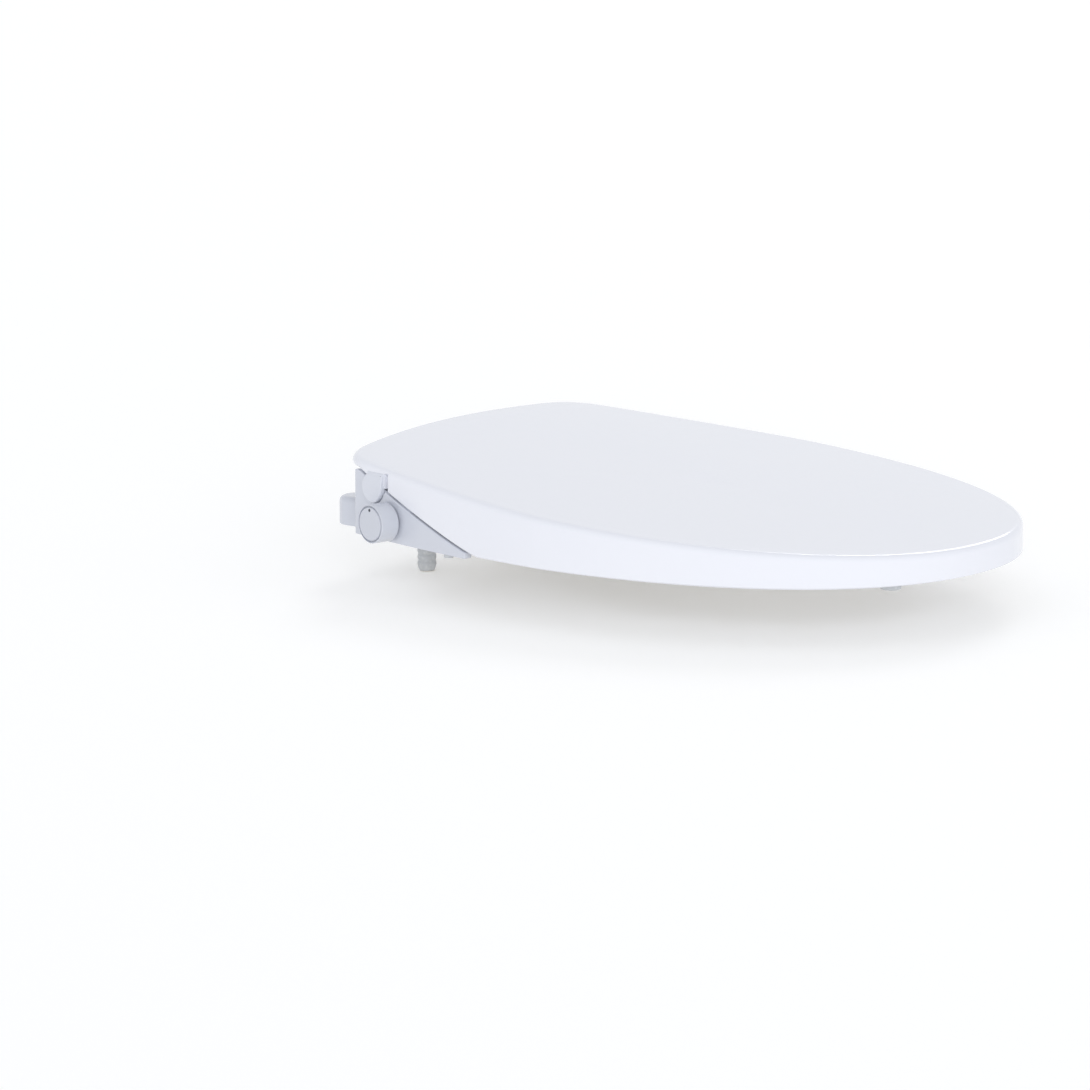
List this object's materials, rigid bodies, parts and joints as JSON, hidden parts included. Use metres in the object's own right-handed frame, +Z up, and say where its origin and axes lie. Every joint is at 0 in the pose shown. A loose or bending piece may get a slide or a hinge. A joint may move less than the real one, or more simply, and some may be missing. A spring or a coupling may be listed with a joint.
{
  "type": "bidet seat",
  "caption": "Slim white bidet seat: slow-closing lid over a seat ring, a low housing with a water control knob on its side, sliding wash nozzles and a threaded water inlet.",
  "frame": {"origin": "midway between the two fixing plugs, on the mounting plate's underside, where it rests on the bowl's deck", "axes": "+Z up, -Y towards the sitter's front and the lid's front tip, -X the side with the knob (the sitter's right)"},
  "size_m": [0.366, 0.49, 0.0968],
  "materials": {
    "white_gloss": "gloss",
    "nozzle_white": "satin",
    "grey_plastic": "matt",
    "dark_mark": "matt",
    "soft_rubber": "matt",
    "seal_rubber": "matt",
    "hose": "satin",
    "stainless": "satin",
    "chromed": "bright",
    "brass": "satin"
  },
  "bodies": {
    "base": {"base_cover": "white_gloss", "base_bottom": "white_gloss", "case_screws": "stainless", "base_pads": "soft_rubber", "lid_damper": "grey_plastic", "seat_damper": "grey_plastic", "mounting_plate": "white_gloss", "plate_adjusters": "grey_plastic", "fixing_bolts": "stainless", "rubber_plugs": "soft_rubber", "plug_nuts": "brass", "release_spring": "stainless", "dial_marks": "grey_plastic", "valve_body": "grey_plastic", "inlet_fitting": "chromed", "inlet_washer": "seal_rubber", "inlet_filter": "stainless", "inlet_hose": "hose", "rear_hose": "hose", "front_hose": "hose", "nozzle_cylinders": "grey_plastic", "cylinder_cap": "grey_plastic", "rear_return_spring": "stainless", "front_return_spring": "stainless", "guard_pin": "stainless"},
    "seat": {"seat_ring": "white_gloss", "seat_bumpers": "soft_rubber", "seat_shaft": "stainless"},
    "lid_assembly": {"lid": "white_gloss", "lid_ear_caps": "white_gloss", "lid_bumpers": "soft_rubber", "lid_shaft": "stainless"},
    "knob_assembly": {"knob": "white_gloss", "knob_dot": "dark_mark", "valve_spindle": "brass", "valve_o_rings": "seal_rubber"},
    "rear_nozzle_assembly": {"rear_nozzle": "nozzle_white", "rear_piston_seal": "seal_rubber"},
    "front_nozzle_assembly": {"front_nozzle": "nozzle_white", "front_piston_seal": "seal_rubber"},
    "guard": {"nozzle_guard": "white_gloss"},
    "release": {"release_button": "grey_plastic", "release_catch": "grey_plastic"}
  },
  "joints": [
    {"name": "seat_hinge", "type": "hinge", "parent": "base", "child": "seat", "pos_m": [0, 0.022, 0.044], "axis": [1, 0, 0], "range_deg": [-100, 0]},
    {"name": "lid_hinge", "type": "hinge", "parent": "seat", "child": "lid_assembly", "pos_m": [0, 0.022, 0.044], "axis": [-1, 0, 0], "range_deg": [0, 105]},
    {"name": "knob_turn", "type": "hinge", "parent": "base", "child": "knob_assembly", "pos_m": [-0.15654, -0.0267, 0.018], "axis": [-0.9705, 0.241, 0], "range_deg": [-90, 90]},
    {"name": "rear_nozzle_slide", "type": "slide", "parent": "base", "child": "rear_nozzle_assembly", "axis": [0, -0.9272, -0.3746], "range_m": [0, 0.03], "stiffness_N_per_m": 60, "springref_m": -0.01, "deforming": ["rear_return_spring"]},
    {"name": "front_nozzle_slide", "type": "slide", "parent": "base", "child": "front_nozzle_assembly", "axis": [0, -0.9272, -0.3746], "range_m": [0, 0.03], "stiffness_N_per_m": 60, "springref_m": -0.01, "deforming": ["front_return_spring"]},
    {"name": "guard_flap", "type": "hinge", "parent": "base", "child": "guard", "pos_m": [0, -0.0745, 0.0077], "axis": [-1, 0, 0], "range_deg": [0, 80]},
    {"name": "release_button_press", "type": "slide", "parent": "base", "child": "release", "axis": [-0.9707, -0.2402, 0], "range_m": [0, 0.0025], "stiffness_N_per_m": 800, "springref_m": -0.002, "deforming": ["release_spring"]}
  ]
}
